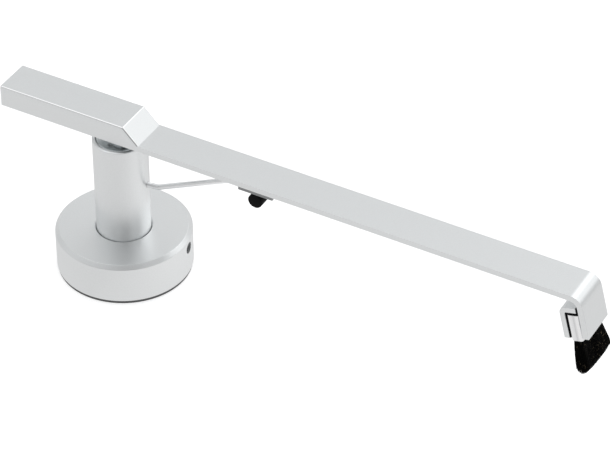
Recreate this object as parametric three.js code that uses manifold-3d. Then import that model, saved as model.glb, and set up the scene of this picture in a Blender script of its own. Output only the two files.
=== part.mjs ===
import * as THREE from 'three';
import { mergeVertices } from 'three/addons/utils/BufferGeometryUtils.js';
import Module from 'manifold-3d';

const wasm = await Module();
wasm.setup();

// A record cleaning arm: a round weighted foot, a column that slides in it for height, an arm that
// swivels and tilts on the column's head, and a soft brush held under the arm's bent lip.
// Millimetres, +Z up along the column, +X along the arm towards the brush.
// The origin is the centre of the foot pad's underside.

// Foot
const padThickness = 1;
const padInset = 0.3;
const baseDiameter = 50;
const baseThickness = 15.85;
const baseTopChamfer = 1.4;
const baseBottomChamfer = 0.3;
const boreFloorThickness = 2;
const boreMouthChamfer = 0.45;

// Height lock: a grub screw that bears on the column
const lockHoleHeight = 11.14;
const lockHoleTurnDegrees = 10.7;
const lockScrewDiameter = 4.1;
const lockScrewInset = 6.7;
const lockScrewPoint = 0.75;
const lockSocketAcrossCorners = 2.9;
const lockSocketDepth = 2.5;
const lockThreadGap = 0.15;
const lockTipGap = 0.3;

// Column
const columnDiameter = 20;
const columnLength = 53.6;
const columnSlideGap = 0.12;
const columnFootChamfer = 0.6;
const rimChamfer = 0.25;
const cupWall = 1.2;
const cupDepth = 3.2;
const bushSeatDiameter = 10;
const lowerRecessDiameter = 15;
const bushSeatLength = 19.4;

// Swivel bearing
const spindleDiameter = 6;
const runningGap = 0.06;
const pressGap = 0.05;
const endPlay = 0.1;
const bushLength = 7;
const bushFlangeDiameter = 12.6;
const bushFlangeThickness = 1;
const bushChamfer = 0.3;
const washerThickness = 0.5;
const washerDiameter = 11.4;
const clipDiameter = 10;
const clipThickness = 0.6;
const clipMouthDegrees = 70;
const grooveDepth = 0.6;
const grooveGap = 0.05;
const spindleTail = 1.3;
const spindleChamfer = 0.35;
const studDiameter = 3;
const studLength = 4.4;

// Swivel head and tilt axle
const headRingGap = 0.3;
const headFlangeThickness = 1.3;
const headEdgeChamfer = 0.2;
const bossDiameter = 6.4;
const lugLength = 4.6;
const lugWidth = 6;
const tiltLimitDegrees = 10;
const axleDiameter = 2.5;
const axleAboveStrip = 2.65;
const axleBlindWall = 1.2;
const axleEndRecess = 0.1;
const axleChamfer = 0.2;
const axleWasherThickness = 0.5;
const axleWasherDiameter = 4.4;
const sideGap = 0.05;
const slotEndGap = 0.1;
const pocketRoofGap = 0.3;

// Arm strip with its bent lip
const armGap = 2.45;
const armWidth = 15;
const stripThickness = 2.2;
const bendReach = 179.1;
const bendInnerRadius = 3;
const lipLength = 12.24;
const lipLeanDegrees = 14.2;

// Rear block, the grip and counterweight over the pivot
const blockHeight = 6.1;
const blockRearReach = 45.1;
const blockFrontReach = 6.1;
const blockChamfer = 0.45;

// Countersunk screws that hold the block down on the strip
const screwDiameter = 3;
const screwHeadDiameter = 5.6;
const screwLength = 6;
const screwHoleGap = 0.1;
const screwTipRoom = 0.5;
const screwSocketAcrossCorners = 2.3;
const screwSocketDepth = 1.1;
const frontScrewShare = 0.32;
const rearScrewShare = 0.85;

// Arm rest: a plate under the arm, and a rubber sleeve on a wire from the column
const restReach = 59.4;
const plateLength = 13.65;
const plateOffset = 0.2;
const plateThickness = 1.17;
const plateChamfer = 0.12;
const restGap = 0.15;
const sleeveDiameter = 5.5;
const sleeveLength = 12.6;
const sleeveEndWall = 1.4;
const sleeveEdgeRadius = 0.35;
const sleeveBoreGap = 0.18;
const wireDiameter = 2;
const wireExitBelowRim = 18.92;
const wireTurnDegrees = 8.5;
const wireSeatDepth = 4;
const wireSeatGap = 0.1;
const wireBendReach = 14.37;
const wireOverhang = 2.25;
const wireBendRadius = 2.2;
const wireTipGap = 0.3;

// Clip behind the lip, which holds the brush
const clipSlit = 0.75;
const clipDrop = 0.05;
const clipReach = 7;
const clipHeight = 12.5;
const clipSheet = 2;
const clipOuterRadius = 2.4;
const clipInnerRadius = 0.5;
const clipEdgeChamfer = 0.12;
const bondGap = 0.08;
const linerGap = 0.06;
const linerEndInset = 0.25;

// Brush
const ferruleDrop = 3;
const ferruleLength = 10.4;
const ferruleThickness = 4.4;
const ferruleWidth = 15.2;
const ferruleCornerRadius = 0.7;
const ferruleWall = 0.35;
const ferruleLipGap = 0.15;
const ferruleMouthChamfer = 0.1;
const coreGap = 0.1;
const coreTopInset = 0.4;
const backingSetback = 1.9;
const backingThickness = 1;
const backingGap = 0.3;
const bristleLength = 12.2;
const bristleRadius = 0.1;
const bristleRowPitch = 0.335;
const bristleColumnPitch = 0.322;
const bristleEdgeInset = 0.05;
const bristleSweep = 0.55;
const bristleJitter = 0.03;
const bristleRagged = 0.9;
const bristleFlareShare = 0.42;
const bristleSpreadShare = 0.5;
const bristleBulgeShare = 0.12;
const bristleTrimShare = 0.17;
const bristleCrestShare = 0.4;
const bristleKneeShare = 0.5;
const goldenShare = 0.618034;

// Cutters run past the faces that they cut by this much
const overrun = 1;

const roundSteps = 64;
const smallRoundSteps = 32;
const tinyRoundSteps = 16;
const bendSteps = 10;
const cornerSteps = 4;

const finishes = {
  satinAluminium: { color: 0xd1d4d5, roughness: 0.42, metalness: 0.85 },
  turnedAluminium: { color: 0xc6cbcd, roughness: 0.25, metalness: 0.95 },
  darkSteel: { color: 0x6b7073, roughness: 0.45, metalness: 0.8 },
  brightSteel: { color: 0xc7c9cb, roughness: 0.22, metalness: 1 },
  bronze: { color: 0x9c7b4a, roughness: 0.4, metalness: 0.9 },
  chrome: { color: 0xe8eaeb, roughness: 0.08, metalness: 1 },
  blackRubber: { color: 0x161718, roughness: 0.75, metalness: 0 },
  blackPlastic: { color: 0x121212, roughness: 0.55, metalness: 0 },
  bristle: { color: 0x0c0b0b, roughness: 0.6, metalness: 0 },
};

const baseRadius = baseDiameter / 2;
const columnRadius = columnDiameter / 2;
const columnBoreRadius = columnRadius + columnSlideGap;
const baseTop = padThickness + baseThickness;
const boreFloor = padThickness + boreFloorThickness;
const cupRadius = columnRadius - cupWall;
const cupFloor = columnLength - cupDepth;
const lowerRecessDepth = cupFloor - bushSeatLength;
const swivelHeight = cupFloor + bushFlangeThickness + washerThickness + endPlay;
const tilt = THREE.MathUtils.degToRad(tiltLimitDegrees);
const lipLean = THREE.MathUtils.degToRad(lipLeanDegrees);
const wireTurn = THREE.MathUtils.degToRad(wireTurnDegrees);

// Places on the arm, measured from the tilt axle
const stripTop = -axleAboveStrip;
const stripBottom = stripTop - stripThickness;
const blockTop = stripTop + blockHeight;
const axleHeight = columnLength + armGap - stripBottom - swivelHeight;
const lugRadius = lugLength / 2;
const slotHalfLength = lugRadius / Math.cos(tilt) - stripBottom * Math.tan(tilt) + slotEndGap;
const pocketWidth = lugWidth + 2 * (axleWasherThickness + 2 * sideGap);

function addPiece(parent, name, geometry, finish) {
  const mesh = new THREE.Mesh(geometry, new THREE.MeshStandardMaterial(finish));
  mesh.name = name;
  parent.add(mesh);
  return mesh;
}

function toSolid(geometry) {
  const bare = geometry.clone();
  bare.deleteAttribute('normal');
  bare.deleteAttribute('uv');
  const merged = mergeVertices(bare);
  const corners = merged.index.array;
  const kept = [];
  for (let i = 0; i < corners.length; i += 3) {
    const [a, b, c] = corners.slice(i, i + 3);
    if (a !== b && b !== c && c !== a) {
      kept.push(a, b, c);
    }
  }
  const vertProperties = new Float32Array(merged.attributes.position.array);
  const triVerts = new Uint32Array(kept);
  return new wasm.Manifold(new wasm.Mesh({ numProp: 3, vertProperties, triVerts }));
}

function toGeometry(solid) {
  const mesh = solid.getMesh();
  const geometry = new THREE.BufferGeometry();
  geometry.setAttribute('position', new THREE.BufferAttribute(mesh.vertProperties, 3));
  geometry.setIndex(new THREE.BufferAttribute(mesh.triVerts, 1));
  geometry.computeVertexNormals();
  return geometry;
}

function cut(body, cutters) {
  let solid = toSolid(body);
  for (const cutter of cutters) {
    solid = solid.subtract(toSolid(cutter));
  }
  return toGeometry(solid);
}

function join(bodies) {
  let solid = toSolid(bodies[0]);
  for (const body of bodies.slice(1)) {
    solid = solid.add(toSolid(body));
  }
  return toGeometry(solid);
}

// A profile of [radius, height] pairs, counterclockwise, turned about the Z axis
function turned(profile, steps) {
  const points = profile.map(([radius, height]) => new THREE.Vector2(radius, height));
  const geometry = new THREE.LatheGeometry(points, steps);
  geometry.rotateX(Math.PI / 2);
  return geometry;
}

function turnedRing(innerRadius, outerRadius, bottom, top, steps) {
  const profile = [[innerRadius, bottom], [outerRadius, bottom], [outerRadius, top], [innerRadius, top]];
  return turned([...profile, profile[0]], steps);
}

function upright(radius, bottom, top, steps) {
  return turned([[0, bottom], [radius, bottom], [radius, top], [0, top]], steps);
}

function box(low, high) {
  const size = new THREE.Vector3().subVectors(high, low);
  const geometry = new THREE.BoxGeometry(size.x, size.y, size.z);
  geometry.translate(low.x + size.x / 2, low.y + size.y / 2, low.z + size.z / 2);
  return geometry;
}

// A side outline in X and Z, given a width in Y and an even chamfer round both sides
function sideProfile(outline, width, chamfer) {
  const geometry = new THREE.ExtrudeGeometry(outline, {
    depth: width - 2 * chamfer,
    bevelEnabled: chamfer > 0,
    bevelThickness: chamfer,
    bevelSize: chamfer,
    bevelOffset: -chamfer,
    bevelSegments: 1,
    curveSegments: bendSteps,
  });
  geometry.translate(0, 0, chamfer - width / 2);
  geometry.rotateX(Math.PI / 2);
  return geometry;
}

function shapeOf(points) {
  return new THREE.Shape(points.map(([x, y]) => new THREE.Vector2(x, y)));
}

// The ferrule's outline in plan, drawn smaller by an inset all round
function ferruleOutline(inset) {
  const radius = ferruleCornerRadius - inset;
  const across = ferruleThickness / 2 - ferruleCornerRadius;
  const along = ferruleWidth / 2 - ferruleCornerRadius;
  const shape = new THREE.Shape();
  shape.absarc(across, along, radius, 0, Math.PI / 2, false);
  shape.absarc(-across, along, radius, Math.PI / 2, Math.PI, false);
  shape.absarc(-across, -along, radius, Math.PI, 1.5 * Math.PI, false);
  shape.absarc(across, -along, radius, 1.5 * Math.PI, 2 * Math.PI, false);
  shape.closePath();
  return shape;
}

function ferruleBlock(inset, bottom, top) {
  const geometry = new THREE.ExtrudeGeometry(ferruleOutline(inset), {
    depth: top - bottom,
    bevelEnabled: false,
    curveSegments: cornerSteps,
  });
  geometry.translate(0, 0, bottom);
  return geometry;
}

function footPad() {
  return upright(baseRadius - padInset, 0, padThickness, roundSteps);
}

function baseDisc() {
  const body = turned([
    [0, padThickness],
    [baseRadius - baseBottomChamfer, padThickness],
    [baseRadius, padThickness + baseBottomChamfer],
    [baseRadius, baseTop - baseTopChamfer],
    [baseRadius - baseTopChamfer, baseTop],
    [columnBoreRadius + boreMouthChamfer, baseTop],
    [columnBoreRadius, baseTop - boreMouthChamfer],
    [columnBoreRadius, boreFloor],
    [0, boreFloor],
  ], roundSteps);
  const holeRadius = lockScrewDiameter / 2 + lockThreadGap;
  const hole = upright(holeRadius, columnRadius, baseRadius + overrun, smallRoundSteps);
  hole.rotateY(Math.PI / 2);
  hole.rotateZ(THREE.MathUtils.degToRad(lockHoleTurnDegrees));
  hole.translate(0, 0, padThickness + lockHoleHeight);
  return cut(body, [hole]);
}

// A socket grub screw along X, its flat point at zero and its socket sunk in from the foot's side
const lockScrewLength = baseRadius - lockScrewInset - columnRadius - lockTipGap;

function lockScrew() {
  const radius = lockScrewDiameter / 2;
  const pointRadius = radius - lockScrewPoint;
  const body = turned([
    [0, 0],
    [pointRadius, 0],
    [radius, lockScrewPoint],
    [radius, lockScrewLength],
    [0, lockScrewLength],
  ], smallRoundSteps);
  const socketFloor = lockScrewLength - lockSocketDepth;
  const socket = upright(lockSocketAcrossCorners / 2, socketFloor, lockScrewLength + overrun, 6);
  const screw = cut(body, [socket]);
  screw.rotateY(Math.PI / 2);
  return screw;
}

// The column stands on its own zero: a cup for the swivel head above, bushes along its bore, and a
// wide recess below where the spindle's clip is fitted
function columnTube() {
  const seatRadius = bushSeatDiameter / 2;
  const recessRadius = lowerRecessDiameter / 2;
  const body = turned([
    [recessRadius, 0],
    [columnRadius - columnFootChamfer, 0],
    [columnRadius, columnFootChamfer],
    [columnRadius, columnLength - rimChamfer],
    [columnRadius - rimChamfer, columnLength],
    [cupRadius + rimChamfer, columnLength],
    [cupRadius, columnLength - rimChamfer],
    [cupRadius, cupFloor],
    [seatRadius, cupFloor],
    [seatRadius, lowerRecessDepth],
    [recessRadius, lowerRecessDepth],
    [recessRadius, 0],
  ], roundSteps);
  const wireHole = upright(
    wireDiameter / 2 + wireSeatGap,
    columnRadius - wireSeatDepth,
    columnRadius + overrun,
    tinyRoundSteps,
  );
  wireHole.rotateY(Math.PI / 2);
  wireHole.rotateZ(wireTurn);
  wireHole.translate(0, 0, columnLength - wireExitBelowRim);
  return cut(body, [wireHole]);
}

// A flanged bush with its flange on its own zero and its barrel pointing up
function flangedBush() {
  const bore = spindleDiameter / 2 + runningGap;
  const barrel = bushSeatDiameter / 2 - pressGap;
  const flange = bushFlangeDiameter / 2;
  const profile = [
    [bore, -bushFlangeThickness],
    [flange, -bushFlangeThickness],
    [flange, 0],
    [barrel, 0],
    [barrel, bushLength - bushChamfer],
    [barrel - bushChamfer, bushLength],
    [bore, bushLength],
  ];
  return turned([...profile, profile[0]], smallRoundSteps);
}

function roundWasher(boreDiameter, outerDiameter, thickness) {
  return turnedRing(boreDiameter / 2 + runningGap, outerDiameter / 2, 0, thickness, smallRoundSteps);
}

// Head: a flange that fills the cup, a boss, and the lug that carries the tilt axle
function swivelHead() {
  const flangeRadius = cupRadius - headRingGap;
  const bossRadius = bossDiameter / 2;
  const bossDrop = (slotEndGap - stripBottom + bossRadius * Math.sin(tilt)) / Math.cos(tilt);
  const bossTop = axleHeight - bossDrop;
  const body = turned([
    [0, 0],
    [flangeRadius, 0],
    [flangeRadius, headFlangeThickness - headEdgeChamfer],
    [flangeRadius - headEdgeChamfer, headFlangeThickness],
    [bossRadius, headFlangeThickness],
    [bossRadius, bossTop],
    [0, bossTop],
  ], roundSteps);
  const lugOutline = new THREE.Shape();
  lugOutline.moveTo(-lugRadius, headFlangeThickness / 2);
  lugOutline.lineTo(lugRadius, headFlangeThickness / 2);
  lugOutline.lineTo(lugRadius, axleHeight);
  lugOutline.absarc(0, axleHeight, lugRadius, 0, Math.PI, false);
  lugOutline.closePath();
  const lug = sideProfile(lugOutline, lugWidth, 0);
  const studHole = upright(studDiameter / 2 + pressGap, -overrun, studLength + lockTipGap, tinyRoundSteps);
  const axleHole = new THREE.CylinderGeometry(
    axleDiameter / 2 + runningGap,
    axleDiameter / 2 + runningGap,
    lugWidth + 2 * overrun,
    smallRoundSteps,
  );
  axleHole.translate(0, 0, axleHeight);
  return cut(join([body, lug]), [studHole, axleHole]);
}

// The spindle hangs below the head, whose underside is zero here
const clipWasherTop = lowerRecessDepth - bushFlangeThickness - endPlay - swivelHeight;
const clipTop = clipWasherTop - washerThickness;

function spindle() {
  const radius = spindleDiameter / 2;
  const grooveRadius = radius - grooveDepth;
  const grooveTop = clipTop + grooveGap;
  const grooveBottom = clipTop - clipThickness - grooveGap;
  const tail = grooveBottom - spindleTail;
  const studRadius = studDiameter / 2;
  return turned([
    [0, tail],
    [radius - spindleChamfer, tail],
    [radius, tail + spindleChamfer],
    [radius, grooveBottom],
    [grooveRadius, grooveBottom],
    [grooveRadius, grooveTop],
    [radius, grooveTop],
    [radius, 0],
    [studRadius, 0],
    [studRadius, studLength],
    [0, studLength],
  ], smallRoundSteps);
}

function spindleClip() {
  const inner = spindleDiameter / 2 - grooveDepth + grooveGap;
  const halfMouth = THREE.MathUtils.degToRad(clipMouthDegrees / 2);
  const outline = new THREE.Shape();
  outline.absarc(0, 0, clipDiameter / 2, halfMouth, 2 * Math.PI - halfMouth, false);
  outline.absarc(0, 0, inner, 2 * Math.PI - halfMouth, halfMouth, true);
  outline.closePath();
  const options = { depth: clipThickness, bevelEnabled: false, curveSegments: tinyRoundSteps };
  return new THREE.ExtrudeGeometry(outline, options);
}

// The tilt axle lies along Y, blind at the near side of the block
const axleNear = axleBlindWall - armWidth / 2;
const axleFar = armWidth / 2 - axleEndRecess;

function tiltAxle() {
  const radius = axleDiameter / 2;
  const length = axleFar - axleNear - sideGap;
  const axle = turned([
    [0, 0],
    [radius - axleChamfer, 0],
    [radius, axleChamfer],
    [radius, length - axleChamfer],
    [radius - axleChamfer, length],
    [0, length],
  ], smallRoundSteps);
  axle.rotateX(-Math.PI / 2);
  axle.translate(0, axleNear + sideGap, 0);
  return axle;
}

function axleWasher() {
  const washer = roundWasher(axleDiameter, axleWasherDiameter, axleWasherThickness);
  washer.rotateX(-Math.PI / 2);
  return washer;
}

function screwPlaces() {
  return [-blockRearReach * frontScrewShare, -blockRearReach * rearScrewShare];
}

function lugOpening(bottom, top) {
  const low = new THREE.Vector3(-slotHalfLength, -pocketWidth / 2, bottom);
  const high = new THREE.Vector3(slotHalfLength, pocketWidth / 2, top);
  return box(low, high);
}

// A hole for a countersunk screw from below, or with no gap the screw itself
function screwForm(gap, top) {
  const shank = screwDiameter / 2 + gap;
  const head = screwHeadDiameter / 2 + gap;
  return turned([
    [0, stripBottom],
    [head, stripBottom],
    [shank, stripBottom + head - shank],
    [shank, top],
    [0, top],
  ], smallRoundSteps);
}

function blockScrew() {
  const body = screwForm(0, stripBottom + screwLength);
  const socketRoof = stripBottom + screwSocketDepth;
  const socket = upright(screwSocketAcrossCorners / 2, stripBottom - overrun, socketRoof, 6);
  return cut(body, [socket]);
}

function screwHoles() {
  return screwPlaces().map((place) => {
    const hole = screwForm(screwHoleGap, stripBottom + screwLength + screwTipRoom);
    hole.translate(place, 0, 0);
    return hole;
  });
}

// The strip runs flat under the block and ends in a lip that is bent down past a right angle less lean
function armStrip() {
  const bendHeight = stripBottom - bendInnerRadius;
  const outerRadius = bendInnerRadius + stripThickness;
  const lipDown = new THREE.Vector2(Math.sin(lipLean), -Math.cos(lipLean)).multiplyScalar(lipLength);
  const outward = new THREE.Vector2(Math.cos(lipLean), Math.sin(lipLean));
  const bend = new THREE.Vector2(bendReach, bendHeight);
  const innerEnd = bend.clone().addScaledVector(outward, bendInnerRadius).add(lipDown);
  const outerEnd = bend.clone().addScaledVector(outward, outerRadius).add(lipDown);
  const outline = new THREE.Shape();
  outline.moveTo(-blockRearReach, stripBottom);
  outline.lineTo(bendReach, stripBottom);
  outline.absarc(bendReach, bendHeight, bendInnerRadius, Math.PI / 2, lipLean, true);
  outline.lineTo(innerEnd.x, innerEnd.y);
  outline.lineTo(outerEnd.x, outerEnd.y);
  outline.absarc(bendReach, bendHeight, outerRadius, lipLean, Math.PI / 2, false);
  outline.lineTo(-blockRearReach, stripTop);
  outline.closePath();
  const opening = lugOpening(stripBottom - overrun, stripTop + overrun);
  return cut(sideProfile(outline, armWidth, 0), [opening, ...screwHoles()]);
}

// The block is drawn deeper than it is and cut level, so that its lower edges stay sharp on the strip
function rearBlock() {
  const low = stripTop - 2 * blockChamfer;
  const slopeRun = blockTop - low;
  const outline = shapeOf([
    [-blockRearReach, low],
    [blockFrontReach + slopeRun, low],
    [blockFrontReach, blockTop],
    [-blockRearReach, blockTop],
  ]);
  const below = box(
    new THREE.Vector3(-blockRearReach - overrun, -armWidth, low - overrun),
    new THREE.Vector3(blockFrontReach + slopeRun + overrun, armWidth, stripTop),
  );
  const holeLength = armWidth / 2 - axleNear + overrun;
  const axleHole = new THREE.CylinderGeometry(
    axleDiameter / 2 + pressGap,
    axleDiameter / 2 + pressGap,
    holeLength,
    smallRoundSteps,
  );
  axleHole.translate(0, axleNear + holeLength / 2, 0);
  const pocket = lugOpening(stripTop - overrun, lugRadius + pocketRoofGap);
  return cut(sideProfile(outline, armWidth, blockChamfer), [below, axleHole, pocket, ...screwHoles()]);
}

function restPlate() {
  const start = restReach + plateOffset - plateLength / 2;
  const outline = shapeOf([
    [start, stripBottom - plateThickness],
    [start + plateLength, stripBottom - plateThickness],
    [start + plateLength, stripBottom],
    [start, stripBottom],
  ]);
  return sideProfile(outline, armWidth, plateChamfer);
}

// Straight runs joined by rounded corners
function roundedPath(corners, radius) {
  const path = new THREE.CurvePath();
  let from = corners[0];
  for (let i = 1; i < corners.length - 1; i += 1) {
    const corner = corners[i];
    const back = new THREE.Vector3().subVectors(corners[i - 1], corner).normalize();
    const ahead = new THREE.Vector3().subVectors(corners[i + 1], corner).normalize();
    const reach = radius / Math.tan(back.angleTo(ahead) / 2);
    const start = corner.clone().addScaledVector(back, reach);
    const end = corner.clone().addScaledVector(ahead, reach);
    path.add(new THREE.LineCurve3(from, start));
    path.add(new THREE.QuadraticBezierCurve3(start, corner, end));
    from = end;
  }
  path.add(new THREE.LineCurve3(from, corners[corners.length - 1]));
  return path;
}

// Heights here are the column's own, like those of the wire that it carries
const sleeveHeight = columnLength + armGap - plateThickness - restGap - sleeveDiameter / 2;

function restWire() {
  const exitHeight = columnLength - wireExitBelowRim;
  const seatEnd = columnRadius - wireSeatDepth + wireTipGap;
  const path = roundedPath([
    new THREE.Vector3(seatEnd * Math.cos(wireTurn), seatEnd * Math.sin(wireTurn), exitHeight),
    new THREE.Vector3(wireBendReach * Math.cos(wireTurn), wireBendReach * Math.sin(wireTurn), exitHeight),
    new THREE.Vector3(restReach, armWidth / 2 + wireOverhang, sleeveHeight),
    new THREE.Vector3(restReach, sleeveEndWall + wireTipGap - armWidth / 2, sleeveHeight),
  ], wireBendRadius);
  const section = new THREE.Shape().absarc(0, 0, wireDiameter / 2, 0, 2 * Math.PI, false);
  return new THREE.ExtrudeGeometry(section, { steps: 52, curveSegments: 5, extrudePath: path });
}

// A rubber sleeve along Y with a closed near end, level with the arm's near edge
function restSleeve() {
  const radius = sleeveDiameter / 2;
  const bore = wireDiameter / 2 + sleeveBoreGap;
  const sleeve = turned([
    [0, 0],
    [radius - sleeveEdgeRadius, 0],
    [radius, sleeveEdgeRadius],
    [radius, sleeveLength - sleeveEdgeRadius],
    [radius - sleeveEdgeRadius, sleeveLength],
    [bore, sleeveLength],
    [bore, sleeveEndWall],
    [0, sleeveEndWall],
  ], smallRoundSteps);
  sleeve.rotateX(-Math.PI / 2);
  sleeve.translate(restReach, -armWidth / 2, sleeveHeight);
  return sleeve;
}

// Brush parts are drawn on the lip: X points out through it, Z up along it, and zero is its inner
// face where the bend ends
function clipOutline() {
  const top = -clipDrop;
  const outer = -clipReach;
  const inner = outer + clipSheet;
  const underside = top - clipSheet;
  const outline = new THREE.Shape();
  outline.moveTo(-clipSlit, top);
  const outerBend = new THREE.Vector2(outer + clipOuterRadius, top - clipOuterRadius);
  outline.absarc(outerBend.x, outerBend.y, clipOuterRadius, Math.PI / 2, Math.PI, false);
  outline.lineTo(outer, top - clipHeight);
  outline.lineTo(inner, top - clipHeight);
  const innerBend = new THREE.Vector2(inner + clipInnerRadius, underside - clipInnerRadius);
  outline.absarc(innerBend.x, innerBend.y, clipInnerRadius, Math.PI, Math.PI / 2, true);
  outline.lineTo(-clipSlit, underside);
  outline.closePath();
  return outline;
}

function brushClip() {
  return sideProfile(clipOutline(), armWidth, clipEdgeChamfer);
}

function clipBond() {
  const halfWidth = armWidth / 2 - linerEndInset;
  const low = new THREE.Vector3(bondGap - clipSlit, -halfWidth, bondGap - clipDrop - clipSheet);
  const high = new THREE.Vector3(-bondGap, halfWidth, -clipDrop - bondGap);
  return box(low, high);
}

// A soft black angle that fills the room between the clip and the ferrule
function ferruleLiner() {
  const outer = clipSheet - clipReach + linerGap;
  const inner = -ferruleLipGap - ferruleThickness - linerGap;
  const top = -clipDrop - clipSheet - linerGap;
  const underside = linerGap - ferruleDrop;
  const bottom = linerGap - clipDrop - clipHeight;
  const cornerRadius = clipInnerRadius - linerGap;
  const outline = new THREE.Shape();
  outline.moveTo(-ferruleLipGap, top);
  outline.absarc(outer + cornerRadius, top - cornerRadius, cornerRadius, Math.PI / 2, Math.PI, false);
  outline.lineTo(outer, bottom);
  outline.lineTo(inner, bottom);
  outline.lineTo(inner, underside);
  outline.lineTo(-ferruleLipGap, underside);
  outline.closePath();
  return sideProfile(outline, armWidth - 2 * linerEndInset, 0);
}

// The ferrule's own zero is its top, in the middle of its thickness
function brushFerrule() {
  const body = new THREE.ExtrudeGeometry(ferruleOutline(ferruleMouthChamfer), {
    depth: ferruleLength - 2 * ferruleMouthChamfer,
    bevelThickness: ferruleMouthChamfer,
    bevelSize: ferruleMouthChamfer,
    bevelSegments: 1,
    curveSegments: cornerSteps,
  });
  body.translate(0, 0, ferruleMouthChamfer - ferruleLength);
  return cut(body, [ferruleBlock(ferruleWall, -ferruleLength - overrun, overrun)]);
}

const coreInset = ferruleWall + coreGap;
const backingBottom = backingSetback - ferruleLength;
const backingTop = backingBottom + backingThickness;

function brushCore() {
  return ferruleBlock(coreInset, backingTop + backingGap, -coreTopInset);
}

// Where a bristle rooted at (across, along) is at a depth below the ferrule's mouth. Every bristle
// follows this one smooth spread, so that none crosses another.
function bristlePoint(across, along, depth) {
  const fall = Math.max(0, depth / bristleLength);
  const bulge = 1 + bristleBulgeShare * Math.sin(Math.PI * Math.min(1, fall)) + bristleSpreadShare * fall;
  const sweep = bristleSweep * fall * fall;
  const flare = 1 + bristleFlareShare * fall;
  return new THREE.Vector3(across * bulge + sweep, along * flare, -ferruleLength - depth);
}

// Roots on a grid that fills the backing, each moved a little from its place
function bristleRoots() {
  const inset = coreInset + bristleEdgeInset + bristleRadius;
  const corner = ferruleCornerRadius - inset;
  const reach = ferruleThickness / 2 - inset;
  const alongReach = ferruleWidth / 2 - inset;
  const rowCount = Math.floor(reach / bristleRowPitch);
  const columnCount = Math.floor(alongReach / bristleColumnPitch);
  const roots = [];
  for (let row = -rowCount; row <= rowCount; row += 1) {
    for (let column = -columnCount; column <= columnCount; column += 1) {
      const across = row * bristleRowPitch;
      const along = column * bristleColumnPitch;
      const pastSide = Math.max(0, Math.abs(across) - reach + corner);
      const pastEnd = Math.max(0, Math.abs(along) - alongReach + corner);
      if (Math.hypot(pastSide, pastEnd) <= corner) {
        const scatter = ((roots.length + 1) * goldenShare) % 1;
        const turn = scatter * 2 * Math.PI;
        roots.push({
          across: across + bristleJitter * Math.cos(turn),
          along: along + bristleJitter * Math.sin(turn),
          share: across / reach,
          scatter,
        });
      }
    }
  }
  return roots;
}

// One bristle is three-sided, rooted inside the backing, with one knee and a pointed tip
function addBristle(root, positions, indices) {
  const trim = bristleTrimShare * ((root.share - bristleCrestShare) / (1 + bristleCrestShare)) ** 2;
  const length = bristleLength * (1 - trim) - bristleRagged * root.scatter;
  const first = positions.length / 3;
  const levels = [-backingSetback - backingThickness / 2, length * bristleKneeShare];
  for (const depth of levels) {
    const centre = bristlePoint(root.across, root.along, depth);
    for (let side = 0; side < 3; side += 1) {
      const angle = (side * 2 * Math.PI) / 3;
      positions.push(
        centre.x + bristleRadius * Math.cos(angle),
        centre.y + bristleRadius * Math.sin(angle),
        centre.z,
      );
    }
  }
  const tip = bristlePoint(root.across, root.along, length);
  positions.push(tip.x, tip.y, tip.z);
  indices.push(first, first + 1, first + 2);
  for (let side = 0; side < 3; side += 1) {
    const next = (side + 1) % 3;
    const upper = first + side;
    const upperNext = first + next;
    const lower = upper + 3;
    const lowerNext = upperNext + 3;
    indices.push(lower, lowerNext, upperNext);
    indices.push(lower, upperNext, upper);
    indices.push(first + 6, lowerNext, lower);
  }
}

function bristles() {
  const positions = [];
  const indices = [];
  for (const root of bristleRoots()) {
    addBristle(root, positions, indices);
  }
  const tuft = new THREE.BufferGeometry();
  tuft.setAttribute('position', new THREE.Float32BufferAttribute(positions, 3));
  tuft.setIndex(indices);
  return join([ferruleBlock(coreInset, backingBottom, backingTop), tuft]);
}

function buildFoot() {
  const foot = new THREE.Group();
  addPiece(foot, 'foot_pad', footPad(), finishes.blackRubber);
  addPiece(foot, 'base_disc', baseDisc(), finishes.satinAluminium);
  const screw = addPiece(foot, 'height_lock_screw', lockScrew(), finishes.darkSteel);
  const turn = THREE.MathUtils.degToRad(lockHoleTurnDegrees);
  const start = columnRadius + lockTipGap;
  screw.rotation.z = turn;
  screw.position.set(start * Math.cos(turn), start * Math.sin(turn), padThickness + lockHoleHeight);
  return foot;
}

function buildColumn() {
  const column = new THREE.Group();
  addPiece(column, 'column', columnTube(), finishes.satinAluminium);
  const upperBush = addPiece(column, 'upper_bush', flangedBush(), finishes.bronze);
  upperBush.rotation.x = Math.PI;
  upperBush.position.z = cupFloor;
  const lowerBush = addPiece(column, 'lower_bush', flangedBush(), finishes.bronze);
  lowerBush.position.z = lowerRecessDepth;
  const thrustWasher = roundWasher(spindleDiameter, washerDiameter, washerThickness);
  const washer = addPiece(column, 'thrust_washer', thrustWasher, finishes.blackPlastic);
  washer.position.z = cupFloor + bushFlangeThickness;
  addPiece(column, 'rest_wire', restWire(), finishes.brightSteel);
  addPiece(column, 'rest_sleeve', restSleeve(), finishes.blackRubber);
  return column;
}

function buildSwivel() {
  const swivel = new THREE.Group();
  addPiece(swivel, 'swivel_head', swivelHead(), finishes.turnedAluminium);
  addPiece(swivel, 'spindle', spindle(), finishes.brightSteel);
  const lowerWasher = roundWasher(spindleDiameter, washerDiameter, washerThickness);
  const clipWasher = addPiece(swivel, 'clip_washer', lowerWasher, finishes.brightSteel);
  clipWasher.position.z = clipTop;
  const clip = addPiece(swivel, 'spindle_clip', spindleClip(), finishes.darkSteel);
  clip.position.z = clipTop - clipThickness;
  return swivel;
}

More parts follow.
